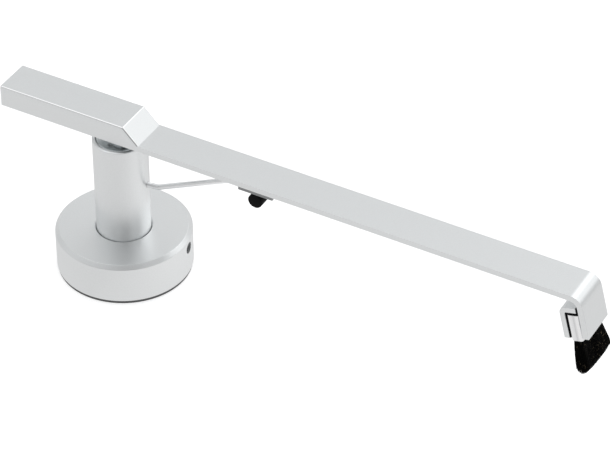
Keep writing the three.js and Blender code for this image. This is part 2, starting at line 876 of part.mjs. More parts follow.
function buildBrush() {
  const brush = new THREE.Group();
  addPiece(brush, 'brush_clip', brushClip(), finishes.satinAluminium);
  addPiece(brush, 'clip_bond', clipBond(), finishes.blackRubber);
  addPiece(brush, 'ferrule_liner', ferruleLiner(), finishes.blackRubber);
  const tube = new THREE.Group();
  tube.position.set(-ferruleLipGap - ferruleThickness / 2, 0, -ferruleDrop);
  addPiece(tube, 'brush_ferrule', brushFerrule(), finishes.chrome);
  addPiece(tube, 'brush_core', brushCore(), finishes.blackPlastic);
  addPiece(tube, 'bristles', bristles(), finishes.bristle);
  brush.add(tube);
  return brush;
}

function buildArm() {
  const arm = new THREE.Group();
  addPiece(arm, 'tilt_axle', tiltAxle(), finishes.brightSteel);
  const nearWasher = addPiece(arm, 'axle_washer_near', axleWasher(), finishes.blackPlastic);
  nearWasher.position.y = -lugWidth / 2 - sideGap - axleWasherThickness;
  const farWasher = addPiece(arm, 'axle_washer_far', axleWasher(), finishes.blackPlastic);
  farWasher.position.y = lugWidth / 2 + sideGap;
  addPiece(arm, 'arm_strip', armStrip(), finishes.satinAluminium);
  addPiece(arm, 'rear_block', rearBlock(), finishes.satinAluminium);
  const [frontPlace, rearPlace] = screwPlaces();
  const frontScrew = addPiece(arm, 'block_screw_front', blockScrew(), finishes.brightSteel);
  frontScrew.position.x = frontPlace;
  const rearScrew = addPiece(arm, 'block_screw_rear', blockScrew(), finishes.brightSteel);
  rearScrew.position.x = rearPlace;
  addPiece(arm, 'rest_plate', restPlate(), finishes.darkSteel);
  const brush = buildBrush();
  const lipX = bendReach + bendInnerRadius * Math.cos(lipLean);
  const lipZ = stripBottom - bendInnerRadius + bendInnerRadius * Math.sin(lipLean);
  brush.position.set(lipX, 0, lipZ);
  brush.rotation.y = -lipLean;
  arm.add(brush);
  return arm;
}

// Each moving group hangs on the one that carries it, with its origin on its joint
const recordCleaningArm = buildFoot();
const column = buildColumn();
column.position.z = boreFloor;
recordCleaningArm.add(column);
const swivel = buildSwivel();
swivel.position.z = swivelHeight;
column.add(swivel);
const arm = buildArm();
arm.position.z = axleHeight;
swivel.add(arm);

export default recordCleaningArm;
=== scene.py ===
import math
import random

import bmesh
import bpy
from mathutils import Matrix, Vector, noise


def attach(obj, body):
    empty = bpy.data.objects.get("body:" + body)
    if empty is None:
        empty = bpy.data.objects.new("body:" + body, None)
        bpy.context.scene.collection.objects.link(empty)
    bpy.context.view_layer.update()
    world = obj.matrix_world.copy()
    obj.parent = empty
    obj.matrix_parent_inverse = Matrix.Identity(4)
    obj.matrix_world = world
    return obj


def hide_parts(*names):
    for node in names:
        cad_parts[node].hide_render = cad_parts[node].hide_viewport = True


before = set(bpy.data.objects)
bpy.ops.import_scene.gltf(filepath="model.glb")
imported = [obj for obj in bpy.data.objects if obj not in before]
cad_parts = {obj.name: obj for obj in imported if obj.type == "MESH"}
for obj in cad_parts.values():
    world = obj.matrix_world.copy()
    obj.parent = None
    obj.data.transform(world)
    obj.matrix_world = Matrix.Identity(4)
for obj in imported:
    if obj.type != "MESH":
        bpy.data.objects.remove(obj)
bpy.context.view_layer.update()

mm = 0.001
# metres, as meshes are
mergeGap = 1e-7
nearlyZero = 1e-6
scene = bpy.context.scene

# Sizes are written in millimetres, in the part's own frame, and turned to metres by place().


def place(x, y, z):
    return Vector((x, y, z)) * mm


def spinProfile(profile, steps=128, closed=False):
    bm = bmesh.new()
    verts = [bm.verts.new(place(radius, 0, height)) for radius, height in profile]
    edges = [bm.edges.new(pair) for pair in zip(verts, verts[1:])]
    if closed:
        edges.append(bm.edges.new((verts[-1], verts[0])))
    bmesh.ops.spin(
        bm, geom=verts + edges, cent=(0, 0, 0), axis=(0, 0, 1),
        angle=math.tau, steps=steps, use_merge=True,
    )
    bmesh.ops.remove_doubles(bm, verts=bm.verts, dist=nearlyZero)
    bmesh.ops.recalc_face_normals(bm, faces=bm.faces)
    return bm


def roundEdges(bm, width, segments=2, minimumTurn=25, keepBelow=None):
    edges = []
    for edge in bm.edges:
        low = keepBelow is not None and all(vert.co.z < keepBelow * mm for vert in edge.verts)
        if not low and edge.calc_face_angle(0) > math.radians(minimumTurn):
            edges.append(edge)
    bmesh.ops.bevel(
        bm, geom=edges, offset=width * mm, offset_type='OFFSET', segments=segments,
        profile=0.5, material=-1, affect='EDGES', clamp_overlap=True,
    )


def alongWay(turn, reach, height):
    way = Matrix.Rotation(math.radians(turn), 3, 'Z') @ Vector((1, 0, 0))
    return (reach * way.x, reach * way.y, height)


def boxAt(low, high):
    bm = bmesh.new()
    bmesh.ops.create_cube(bm, size=1)
    size = place(*high) - place(*low)
    bmesh.ops.scale(bm, verts=bm.verts, vec=size)
    bmesh.ops.translate(bm, verts=bm.verts, vec=place(*low) + size / 2)
    return bm


def rodAt(radius, start, end, steps=48, endRadius=None):
    bm = bmesh.new()
    way = place(*end) - place(*start)
    bmesh.ops.create_cone(
        bm, cap_ends=True, segments=steps, radius1=radius * mm,
        radius2=(radius if endRadius is None else endRadius) * mm, depth=way.length,
    )
    turn = way.to_track_quat('Z', 'Y').to_matrix().to_4x4()
    middle = place(*start) + way / 2
    bmesh.ops.transform(bm, matrix=Matrix.Translation(middle) @ turn, verts=bm.verts)
    return bm


def looseObject(name, bm):
    mesh = bpy.data.meshes.new(name)
    bm.to_mesh(mesh)
    bm.free()
    piece = bpy.data.objects.new(name, mesh)
    scene.collection.objects.link(piece)
    return piece


def bakeModifiers(piece):
    evaluated = piece.evaluated_get(bpy.context.evaluated_depsgraph_get())
    mesh = bpy.data.meshes.new_from_object(evaluated)
    old = piece.data
    piece.modifiers.clear()
    piece.data = mesh
    mesh.name = piece.name
    bpy.data.meshes.remove(old)


def carve(bm, cutters):
    piece = looseObject('carved', bm)
    blocks = []
    for cutter in cutters:
        block = looseObject('cutter', cutter)
        blocks.append(block)
        cut = piece.modifiers.new('cut', 'BOOLEAN')
        cut.operation = 'DIFFERENCE'
        cut.solver = 'EXACT'
        cut.object = block
    bakeModifiers(piece)
    result = bmesh.new()
    result.from_mesh(piece.data)
    for done in [piece, *blocks]:
        mesh = done.data
        bpy.data.objects.remove(done)
        bpy.data.meshes.remove(mesh)
    bmesh.ops.remove_doubles(result, verts=result.verts, dist=mergeGap)
    return result


def addPiece(name, bm, material, body, nodes, smoothTurn=40, flatten=True):
    bmesh.ops.remove_doubles(bm, verts=bm.verts, dist=mergeGap)
    bmesh.ops.recalc_face_normals(bm, faces=bm.faces)
    piece = looseObject(name, bm)
    piece.data.polygons.foreach_set('use_smooth', [True] * len(piece.data.polygons))
    piece.data.set_sharp_from_angle(angle=math.radians(smoothTurn))
    piece.data.materials.append(material)
    if flatten:  # large flat faces keep an even shade beside their rounded edges
        weighted = piece.modifiers.new('even flats', 'WEIGHTED_NORMAL')
        weighted.keep_sharp = True
    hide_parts(*nodes)
    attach(piece, body)
    print('made', name, len(piece.data.polygons), 'faces')
    return piece


def polish(piece, isCut):
    piece.data.materials.append(polishedCut)
    for face in piece.data.polygons:
        if isCut(face.center / mm, face.normal):
            face.material_index = 1


# Materials: a fine grain on object coordinates drives the colour, the roughness and the bump.

# noise runs from 0 to 1 and mostly stays near its middle, so only that stretch is used
grainRange = {
    'detail': 3, 'tinted': (0.3, 0.7), 'smoothBelow': 0.25, 'roughAbove': 0.75,
    'smoother': 0.9, 'rougher': 1.1,
}
usualShine = 0.5


def newMaterial(name, colour, metallic, roughness, shine=usualShine):
    material = bpy.data.materials.new(name)
    material.use_nodes = True
    shader = material.node_tree.nodes['Principled BSDF']
    shader.inputs['Base Color'].default_value = (*colour, 1)
    shader.inputs['Metallic'].default_value = metallic
    shader.inputs['Roughness'].default_value = roughness
    shader.inputs['Specular IOR Level'].default_value = shine
    return material, shader


def grainTexture(material, size, detail, stretch=(1, 1, 1)):
    nodes, links = material.node_tree.nodes, material.node_tree.links
    coords = nodes.new('ShaderNodeTexCoord')
    mapping = nodes.new('ShaderNodeMapping')
    mapping.inputs['Scale'].default_value = stretch
    grain = nodes.new('ShaderNodeTexNoise')
    grain.inputs['Scale'].default_value = 1 / (size * mm)
    grain.inputs['Detail'].default_value = detail
    links.new(coords.outputs['Object'], mapping.inputs['Vector'])
    links.new(mapping.outputs['Vector'], grain.inputs['Vector'])
    return grain


def spread(material, source, low, high):
    nodes, links = material.node_tree.nodes, material.node_tree.links
    ranged = nodes.new('ShaderNodeMapRange')
    ranged.inputs['From Min'].default_value = grainRange['smoothBelow']
    ranged.inputs['From Max'].default_value = grainRange['roughAbove']
    ranged.inputs['To Min'].default_value = low
    ranged.inputs['To Max'].default_value = high
    links.new(source, ranged.inputs['Value'])
    return ranged.outputs['Result']


def tint(material, shader, source, dark, light, span=grainRange['tinted']):
    nodes, links = material.node_tree.nodes, material.node_tree.links
    ramp = nodes.new('ShaderNodeValToRGB')
    for stop, position, colour in zip(ramp.color_ramp.elements, span, (dark, light)):
        stop.position = position
        stop.color = (*colour, 1)
    links.new(source, ramp.inputs['Fac'])
    links.new(ramp.outputs['Color'], shader.inputs['Base Color'])


def addBump(material, shader, source, depth):
    nodes, links = material.node_tree.nodes, material.node_tree.links
    bump = nodes.new('ShaderNodeBump')
    bump.inputs['Strength'].default_value = 1
    bump.inputs['Distance'].default_value = depth * mm
    links.new(source, bump.inputs['Height'])
    links.new(bump.outputs['Normal'], shader.inputs['Normal'])


def shaded(colour, share):
    return [min(1, channel * share) for channel in colour]


def grainMaterial(name, look):
    colour, roughness, vary = look['colour'], look['roughness'], look['vary']
    shine = look.get('shine', usualShine)
    material, shader = newMaterial(name, colour, look['metallic'], roughness, shine)
    grain = grainTexture(material, look['grain'], grainRange['detail']).outputs['Fac']
    tint(material, shader, grain, shaded(colour, 1 - vary), shaded(colour, 1 + vary))
    smoothest, roughest = roughness * grainRange['smoother'], roughness * grainRange['rougher']
    rough = spread(material, grain, smoothest, roughest)
    material.node_tree.links.new(rough, shader.inputs['Roughness'])
    addBump(material, shader, grain, look['bump'])
    return material


finishes = {
    'satinAluminium': {
        'colour': (0.865, 0.878, 0.882), 'metallic': 1, 'roughness': 0.37,
        'grain': 0.42, 'vary': 0.02, 'bump': 0.007,
    },
    'darkSteel': {
        'colour': (0.3, 0.305, 0.31), 'metallic': 0.9, 'roughness': 0.42,
        'grain': 0.5, 'vary': 0.12, 'bump': 0.006,
    },
    'drawnSteel': {
        'colour': (0.94, 0.945, 0.95), 'metallic': 1, 'roughness': 0.3,
        'grain': 0.9, 'vary': 0.02, 'bump': 0.0005,
    },
    'bronze': {
        'colour': (0.36, 0.22, 0.08), 'metallic': 1, 'roughness': 0.42,
        'grain': 0.35, 'vary': 0.15, 'bump': 0.008,
    },
    'polishedCut': {
        'colour': (0.97, 0.975, 0.98), 'metallic': 1, 'roughness': 0.16,
        'grain': 0.42, 'vary': 0.01, 'bump': 0.001,
    },
    'platedSteel': {
        'colour': (0.95, 0.955, 0.96), 'metallic': 1, 'roughness': 0.13,
        'grain': 2.0, 'vary': 0.015, 'bump': 0.01,
    },
    'rubber': {
        'colour': (0.005, 0.005, 0.0055), 'metallic': 0, 'roughness': 0.6, 'shine': 0.08,
        'grain': 0.25, 'vary': 0.25, 'bump': 0.008,
    },
    'padRubber': {
        'colour': (0.165, 0.165, 0.167), 'metallic': 0, 'roughness': 0.65, 'shine': 0.3,
        'grain': 0.3, 'vary': 0.2, 'bump': 0.01,
    },
    'plastic': {
        'colour': (0.012, 0.012, 0.012), 'metallic': 0, 'roughness': 0.5,
        'grain': 0.4, 'vary': 0.2, 'bump': 0.006,
    },
}
satinAluminium = grainMaterial('satin aluminium', finishes['satinAluminium'])
darkSteel = grainMaterial('dark steel', finishes['darkSteel'])
drawnSteel = grainMaterial('drawn steel', finishes['drawnSteel'])
bronze = grainMaterial('sintered bronze', finishes['bronze'])
polishedCut = grainMaterial('polished cut', finishes['polishedCut'])
rubber = grainMaterial('black rubber', finishes['rubber'])
padRubber = grainMaterial('pad rubber', finishes['padRubber'])
plastic = grainMaterial('black plastic', finishes['plastic'])

turned = {
    'colour': (0.84, 0.873, 0.885), 'roughness': 0.27, 'darkShare': 0.96, 'lightShare': 1.03,
    # the wave texture has a ring every 0.314 of its own units at scale 1
    'ringPitch': 0.42, 'ringUnit': 0.314, 'ringDepth': 0.0003, 'unevenness': 0.6, 'unevenScale': 2,
}


def turnedMaterial():
    material, shader = newMaterial('turned aluminium', turned['colour'], 1, turned['roughness'])
    nodes, links = material.node_tree.nodes, material.node_tree.links
    coords = nodes.new('ShaderNodeTexCoord')
    rings = nodes.new('ShaderNodeTexWave')
    rings.wave_type = 'RINGS'
    rings.rings_direction = 'Z'
    rings.inputs['Scale'].default_value = turned['ringUnit'] / (turned['ringPitch'] * mm)
    rings.inputs['Distortion'].default_value = turned['unevenness']
    rings.inputs['Detail Scale'].default_value = turned['unevenScale']
    links.new(coords.outputs['Object'], rings.inputs['Vector'])
    dark = shaded(turned['colour'], turned['darkShare'])
    light = shaded(turned['colour'], turned['lightShare'])
    tint(material, shader, rings.outputs['Fac'], dark, light)
    addBump(material, shader, rings.outputs['Fac'], turned['ringDepth'])
    return material


# where the lip's inner face starts below the bend, and how far it leans
lip = {'place': (182.0083, 0, 56.7859), 'lean': 14.2}

hair = {
    'colour': (0.0012, 0.0011, 0.001), 'glint': (0.33, 0.27, 0.18), 'roughness': 0.55, 'shine': 0.06,
    'streak': 0.27, 'detail': 1, 'stretch': (1, 1, 0.07), 'glinting': (0.69, 0.73),
}


def hairMaterial():
    material, shader = newMaterial('bristle hair', hair['colour'], 0, hair['roughness'], hair['shine'])
    streaks = grainTexture(material, hair['streak'], hair['detail'], hair['stretch'])
    mapping = streaks.inputs['Vector'].links[0].from_node
    mapping.inputs['Rotation'].default_value = (0, math.radians(lip['lean']), 0)
    tint(material, shader, streaks.outputs['Fac'], hair['colour'], hair['glint'], hair['glinting'])
    return material


paintedSheen = {
    'left': -4.45, 'right': -0.15, 'blueShare': 1.01,
    # where each band of painted highlight and painted shade lies from left to right, and how bright it
    # is
    'bands': [
        (0, 1), (0.18, 1), (0.45, 0.88), (0.56, 0.76), (0.66, 0.86), (0.77, 1), (0.9, 1), (1, 0.95),
    ],
}


# the ferrule's base colour is a ramp of bright and dark bands across its face: painted highlights and
# painted shade in place of its reflections
def paintedSheenPlating():
    material = grainMaterial('ferrule painted sheen', finishes['platedSteel'])
    nodes, links = material.node_tree.nodes, material.node_tree.links
    coords = nodes.new('ShaderNodeTexCoord')
    mapping = nodes.new('ShaderNodeMapping')
    mapping.vector_type = 'TEXTURE'
    mapping.inputs['Location'].default_value = place(*lip['place'])
    mapping.inputs['Rotation'].default_value = (0, -math.radians(lip['lean']), 0)
    parts = nodes.new('ShaderNodeSeparateXYZ')
    across = nodes.new('ShaderNodeMapRange')
    across.inputs['From Min'].default_value = paintedSheen['left'] * mm
    across.inputs['From Max'].default_value = paintedSheen['right'] * mm
    ramp = nodes.new('ShaderNodeValToRGB')
    stops = ramp.color_ramp.elements
    while len(stops) < len(paintedSheen['bands']):
        stops.new(1)
    for stop, (position, shade) in zip(stops, paintedSheen['bands']):
        stop.position = position
        stop.color = (shade, shade, min(1, shade * paintedSheen['blueShare']), 1)
    links.new(coords.outputs['Object'], mapping.inputs['Vector'])
    links.new(mapping.outputs['Vector'], parts.inputs['Vector'])
    links.new(parts.outputs['X'], across.inputs['Value'])
    links.new(across.outputs['Result'], ramp.inputs['Fac'])
    links.new(ramp.outputs['Color'], nodes['Principled BSDF'].inputs['Base Color'])
    return material


bristleHair = hairMaterial()
ferruleSheenPaint = paintedSheenPlating()
turnedAluminium = turnedMaterial()
print('materials made')

# Foot

footPad = {'radius': 24.7, 'thickness': 1.0, 'edge': 0.15}
bm = spinProfile([
    (0, 0),
    (footPad['radius'], 0),
    (footPad['radius'], footPad['thickness']),
    (0, footPad['thickness']),
])
roundEdges(bm, footPad['edge'])
addPiece('rubber_pad', bm, padRubber, 'base', ['foot_pad'])

foot = {
    'radius': 25.0, 'bottom': 1.0, 'top': 16.85, 'topChamfer': 1.4, 'bottomChamfer': 0.3,
    'bore': 10.12, 'boreFloor': 3.0, 'mouthChamfer': 0.45, 'edge': 0.1,
    'holeHeight': 12.14, 'holeTurn': 10.7, 'holeRadius': 2.2, 'holeFrom': 9, 'holeTo': 27, 'steps': 192,
}
bm = spinProfile([
    (0, foot['bottom']),
    (foot['radius'] - foot['bottomChamfer'], foot['bottom']),
    (foot['radius'], foot['bottom'] + foot['bottomChamfer']),
    (foot['radius'], foot['top'] - foot['topChamfer']),
    (foot['radius'] - foot['topChamfer'], foot['top']),
    (foot['bore'] + foot['mouthChamfer'], foot['top']),
    (foot['bore'], foot['top'] - foot['mouthChamfer']),
    (foot['bore'], foot['boreFloor']),
    (0, foot['boreFloor']),
], steps=foot['steps'])
roundEdges(bm, foot['edge'])
bm = carve(bm, [rodAt(
    foot['holeRadius'],
    alongWay(foot['holeTurn'], foot['holeFrom'], foot['holeHeight']),
    alongWay(foot['holeTurn'], foot['holeTo'], foot['holeHeight']),
)])
addPiece('round_foot', bm, satinAluminium, 'base', ['base_disc'])
print('foot made')

# Column

tube = {
    'radius': 10.0, 'bottom': 3.0, 'top': 56.6, 'footChamfer': 0.6, 'rimChamfer': 0.12, 'rimFall': 0.33,
    'cup': 8.8, 'cupFloor': 53.4, 'bushSeat': 5.0, 'recess': 7.5, 'recessTop': 34.0,
    'edge': 0.06, 'steps': 160, 'wireHeight': 37.68, 'wireTurn': 8.5,
    'wireHole': 1.1, 'wireHoleFrom': 6, 'wireHoleTo': 12, 'wireHoleSteps': 32,
}
bm = spinProfile([
    (tube['recess'], tube['bottom']),
    (tube['radius'] - tube['footChamfer'], tube['bottom']),
    (tube['radius'], tube['bottom'] + tube['footChamfer']),
    (tube['radius'], tube['top'] - tube['rimFall'] - tube['rimChamfer']),
    (tube['radius'] - tube['rimChamfer'], tube['top'] - tube['rimFall']),
    (tube['cup'] + tube['rimChamfer'], tube['top']),
    (tube['cup'], tube['top'] - tube['rimChamfer']),
    (tube['cup'], tube['cupFloor']),
    (tube['bushSeat'], tube['cupFloor']),
    (tube['bushSeat'], tube['recessTop']),
    (tube['recess'], tube['recessTop']),
], steps=tube['steps'], closed=True)
roundEdges(bm, tube['edge'], segments=1)


def onWireLine(reach):
    return alongWay(tube['wireTurn'], reach, tube['wireHeight'])


bm = carve(bm, [rodAt(
    tube['wireHole'], onWireLine(tube['wireHoleFrom']), onWireLine(tube['wireHoleTo']),
    steps=tube['wireHoleSteps'],
)])
addPiece('column_tube', bm, satinAluminium, 'column', ['column'])

wire = {
    'radius': 1.0, 'sides': 24, 'bend': 2.2, 'bendSteps': 8, 'start': 6.3, 'knee': 14.37,
    'endX': 59.4, 'endZ': 54.98, 'cornerY': 9.75, 'endY': -5.8,
}
wireCorners = [
    onWireLine(wire['start']),
    onWireLine(wire['knee']),
    (wire['endX'], wire['cornerY'], wire['endZ']),
    (wire['endX'], wire['endY'], wire['endZ']),
]


def roundedRoute(corners, reachRadius, steps):
    route = [place(*corners[0])]
    for before, corner, after in zip(corners, corners[1:], corners[2:]):
        here = place(*corner)
        back = (place(*before) - here).normalized()
        ahead = (place(*after) - here).normalized()
        reach = reachRadius * mm / math.tan(back.angle(ahead) / 2)
        start, end = here + back * reach, here + ahead * reach
        for i in range(steps + 1):
            share = i / steps
            route.append(start.lerp(here, share).lerp(here.lerp(end, share), share))
    route.append(place(*corners[-1]))
    return route


def sweptRod(route, radius, sides):
    bm = bmesh.new()
    ring = bmesh.ops.create_circle(bm, cap_ends=False, segments=sides, radius=radius * mm)['verts']
    heading = (route[1] - route[0]).normalized()
    frameTurn = heading.to_track_quat('Z', 'Y')
    bmesh.ops.transform(bm, matrix=Matrix.LocRotScale(route[0], frameTurn, None), verts=ring)
    edges = list(bm.edges)
    bmesh.ops.contextual_create(bm, geom=edges)
    for i in range(1, len(route)):
        made = bmesh.ops.extrude_edge_only(bm, edges=edges)['geom']
        verts = [item for item in made if isinstance(item, bmesh.types.BMVert)]
        edges = [item for item in made if isinstance(item, bmesh.types.BMEdge)]
        newHeading = (route[min(i + 1, len(route) - 1)] - route[i - 1]).normalized()
        turn = heading.rotation_difference(newHeading).to_matrix().to_4x4()
        move = Matrix.Translation(route[i]) @ turn @ Matrix.Translation(-route[i - 1])
        bmesh.ops.transform(bm, matrix=move, verts=verts)
        heading = newHeading
    bmesh.ops.contextual_create(bm, geom=edges)
    bmesh.ops.recalc_face_normals(bm, faces=bm.faces)
    return bm


wireRoute = roundedRoute(wireCorners, wire['bend'], wire['bendSteps'])
bm = sweptRod(wireRoute, wire['radius'], wire['sides'])
addPiece('bent_wire', bm, drawnSteel, 'column', ['rest_wire'])

sleeve = {
    'radius': 2.75, 'length': 12.6, 'endWall': 1.4, 'bore': 1.18, 'near': -7.5,
    'edge': 0.35, 'steps': 64,
}
bm = spinProfile([
    (0, 0),
    (sleeve['radius'], 0),
    (sleeve['radius'], sleeve['length']),
    (sleeve['bore'], sleeve['length']),
    (sleeve['bore'], sleeve['endWall']),
    (0, sleeve['endWall']),
], steps=sleeve['steps'])
roundEdges(bm, sleeve['edge'], segments=3)
sleeveEnd = Matrix.Translation(place(wire['endX'], sleeve['near'], wire['endZ']))
lyingDown = Matrix.Rotation(math.radians(-90), 4, 'X')
bmesh.ops.transform(bm, matrix=sleeveEnd @ lyingDown, verts=bm.verts)
addPiece('rubber_sleeve', bm, rubber, 'column', ['rest_sleeve'])
print('column made')

# Arm strip, block and rest plate


def sweptSheet(start, moves):
    bm = bmesh.new()
    face = bm.faces.new([bm.verts.new(place(*corner)) for corner in start])
    for move in moves:
        if 'go' in move:
            made = bmesh.ops.extrude_face_region(bm, geom=[face])['geom']
            face = next(item for item in made if isinstance(item, bmesh.types.BMFace))
            bmesh.ops.translate(bm, vec=place(*move['go']), verts=list(face.verts))
        else:
            made = bmesh.ops.spin(
                bm, geom=[face, *face.edges, *face.verts], cent=place(*move['centre']),
                axis=(0, 1, 0), angle=math.radians(move['turn']), steps=move['steps'],
            )['geom_last']
            face = next(item for item in made if isinstance(item, bmesh.types.BMFace))
    bmesh.ops.recalc_face_normals(bm, faces=bm.faces)
    return bm


strip = {
    'rear': -45.1, 'bendStart': 179.1, 'bottom': 59.05, 'top': 61.25, 'halfWidth': 7.5,
    'innerRadius': 3.0, 'bendSteps': 24, 'lip': 12.24, 'edge': 0.06,
    'slotHalfLength': 3.29, 'slotHalfWidth': 3.6,
}
block = {
    'rear': -45.1, 'topFront': 6.1, 'top': 67.35, 'sideRound': 0.61, 'roundSteps': 4, 'edge': 0.11,
    'pocketTop': 66.5, 'axleHeight': 63.9, 'axleHole': 1.3, 'axleNear': -6.3, 'axleFar': 9,
    'screwPlaces': (-14.432, -38.335), 'screwHead': 2.9, 'screwShank': 1.6, 'screwTop': 65.55,
    'sinkOverrun': 0.5, 'shankFrom': 0.2, 'cutOverrun': 1,
    # edges up to this height over the strip stay sharp
    'sharpBelow': 0.1,
    # how far the shading loops lie from the ends, from the slant's top edge and from the bottom
    'endLoop': 0.7, 'slantLoop': 0.5, 'lowLoop': 0.4,
}


def screwHoleCutters():
    cutters = []
    sink = block['screwHead'] - block['screwShank']
    sinkStart = strip['bottom'] - block['sinkOverrun']
    shankStart = strip['bottom'] + block['shankFrom']
    for x in block['screwPlaces']:
        cutters.append(rodAt(
            block['screwHead'] + block['sinkOverrun'], (x, 0, sinkStart), (x, 0, strip['bottom'] + sink),
            endRadius=block['screwShank'],
        ))
        cutters.append(rodAt(block['screwShank'], (x, 0, shankStart), (x, 0, block['screwTop'])))
    return cutters


def slotCutter(low, high):
    return boxAt(
        (-strip['slotHalfLength'], -strip['slotHalfWidth'], low),
        (strip['slotHalfLength'], strip['slotHalfWidth'], high),
    )


lean = math.radians(lip['lean'])
stripBend = (strip['bendStart'], 0, strip['bottom'] - strip['innerRadius'])
bm = sweptSheet(
    [
        (strip['rear'], -strip['halfWidth'], strip['bottom']),
        (strip['rear'], strip['halfWidth'], strip['bottom']),
        (strip['rear'], strip['halfWidth'], strip['top']),
        (strip['rear'], -strip['halfWidth'], strip['top']),
    ],
    [
        {'go': (strip['bendStart'] - strip['rear'], 0, 0)},
        {'centre': stripBend, 'turn': 90 - lip['lean'], 'steps': strip['bendSteps']},
        {'go': (strip['lip'] * math.sin(lean), 0, -strip['lip'] * math.cos(lean))},
    ],
)
roundEdges(bm, strip['edge'], minimumTurn=40)
overrun = block['cutOverrun']
bm = carve(bm, [slotCutter(strip['bottom'] - overrun, strip['top'] + overrun), *screwHoleCutters()])
addPiece('strip_arm', bm, satinAluminium, 'arm', ['arm_strip'])

bm = boxAt(
    (block['rear'], -strip['halfWidth'], strip['top']),
    (block['topFront'], strip['halfWidth'], block['top']),
)
# the lower front edge moves forward by the block's height, which makes the slant
rise = block['top'] - strip['top']
middleHeight = (strip['top'] + rise / 2) * mm
lowFront = [vert for vert in bm.verts if vert.co.x > 0 and vert.co.z < middleHeight]
bmesh.ops.translate(bm, verts=lowFront, vec=place(rise, 0, 0))
sideEdges = []
for edge in bm.edges:
    run = edge.verts[1].co - edge.verts[0].co
    raised = max(vert.co.z for vert in edge.verts) > middleHeight
    if abs(run.y) < nearlyZero and abs(run.x) > nearlyZero and raised:
        sideEdges.append(edge)
bmesh.ops.bevel(
    bm, geom=sideEdges, offset=block['sideRound'] * mm, offset_type='OFFSET',
    segments=block['roundSteps'], profile=0.5, material=-1, affect='EDGES', clamp_overlap=True,
)
roundEdges(bm, block['edge'], minimumTurn=40, keepBelow=strip['top'] + block['sharpBelow'])
# loops close to the corners keep the long rounded edges even in shade
for corner, way in [
    ((block['rear'] + block['endLoop'], 0, 0), (1, 0, 0)),
    ((block['topFront'] - block['endLoop'], 0, 0), (1, 0, 0)),
    ((block['topFront'] + block['slantLoop'], 0, block['top'] - block['slantLoop']), (1, 0, -1)),
    ((0, 0, strip['top'] + block['lowLoop']), (0, 0, 1)),
]:
    everything = [*bm.verts, *bm.edges, *bm.faces]
    bmesh.ops.bisect_plane(bm, geom=everything, plane_co=place(*corner), plane_no=way)
bm = carve(bm, [
    slotCutter(strip['top'] - overrun, block['pocketTop']),
    rodAt(
        block['axleHole'], (0, block['axleNear'], block['axleHeight']),
        (0, block['axleFar'], block['axleHeight']),
    ),
    *screwHoleCutters(),
])
gripBlock = addPiece('grip_block', bm, satinAluminium, 'arm', ['rear_block'])

# bright cut edges: the two long ones, which lie beyond 'outside', and the slant's top one
cutEdge = {'outside': 7, 'sideways': (0.03, 0.97), 'forward': 0.05, 'up': (0.75, 0.99)}


def isBetween(value, span):
    return span[0] < value < span[1]


def isCutEdge(middle, way):
    isLong = abs(middle.y) > cutEdge['outside'] and isBetween(abs(way.y), cutEdge['sideways'])
    isSlant = way.x > cutEdge['forward'] and isBetween(way.z, cutEdge['up'])
    return isLong or isSlant


polish(gripBlock, isCutEdge)

plate = {'start': 52.775, 'end': 66.425, 'bottom': 57.88, 'edge': 0.14}
bm = boxAt(
    (plate['start'], -strip['halfWidth'], plate['bottom']),
    (plate['end'], strip['halfWidth'], strip['bottom']),
)
bmesh.ops.subdivide_edges(bm, edges=bm.edges, cuts=1, use_grid_fill=True)
roundEdges(bm, plate['edge'])
addPiece('parking_plate', bm, darkSteel, 'arm', ['rest_plate'])
print('arm made')

# Brush, drawn on the lip: x out through it, z up along it, zero at its inner face below the bend

onLip = Matrix.Translation(place(*lip['place'])) @ Matrix.Rotation(-lean, 4, 'Y')

clip = {
    'slit': 0.75, 'top': -0.05, 'sheet': 2.0, 'reach': 7.0, 'bottom': -12.55,
    'outerRadius': 2.4, 'bendSteps': 20, 'halfWidth': 7.5, 'edge': 0.16,
}
bendCentre = (clip['outerRadius'] - clip['reach'], 0, clip['top'] - clip['outerRadius'])
bm = sweptSheet(
    [
        (-clip['slit'], -clip['halfWidth'], clip['top']),
        (-clip['slit'], clip['halfWidth'], clip['top']),
        (-clip['slit'], clip['halfWidth'], clip['top'] - clip['sheet']),
        (-clip['slit'], -clip['halfWidth'], clip['top'] - clip['sheet']),
    ],
    [
        {'go': (bendCentre[0] + clip['slit'], 0, 0)},
        {'centre': bendCentre, 'turn': -90, 'steps': clip['bendSteps']},
        {'go': (0, 0, clip['bottom'] - bendCentre[2])},
    ],
)
roundEdges(bm, clip['edge'], minimumTurn=40)
bmesh.ops.transform(bm, matrix=onLip, verts=bm.verts)
addPiece('sheet_clip', bm, satinAluminium, 'arm', ['brush_clip'])

ferrule = {
    'middle': -2.3, 'top': -3.0, 'thickness': 4.3, 'width': 15.2, 'wall': 0.35,
    'corner': 0.9, 'cornerSteps': 12,
    # depth below the top and how far the ring is drawn in there
    'rings': [(0.0, 0.1), (0.1, 0.0), (9.3, 0.0), (9.45, 0.05), (9.95, 0.05), (10.25, 0.0), (10.4, 0.1)],
}


def ferruleRing(bm, inset, depth):
    steps = 4 * ferrule['cornerSteps']
    radius = (ferrule['corner'] - inset) * mm
    ring = bmesh.ops.create_circle(bm, cap_ends=False, segments=steps, radius=radius)['verts']
    bmesh.ops.rotate(bm, verts=ring, cent=(0, 0, 0), matrix=Matrix.Rotation(math.pi / steps, 3, 'Z'))
    across = ferrule['thickness'] / 2 - ferrule['corner']
    along = ferrule['width'] / 2 - ferrule['corner']
    for vert in ring:
        shift = place(math.copysign(across, vert.co.x), math.copysign(along, vert.co.y), 0)
        vert.co += shift + place(ferrule['middle'], 0, ferrule['top'] - depth)
    return ring


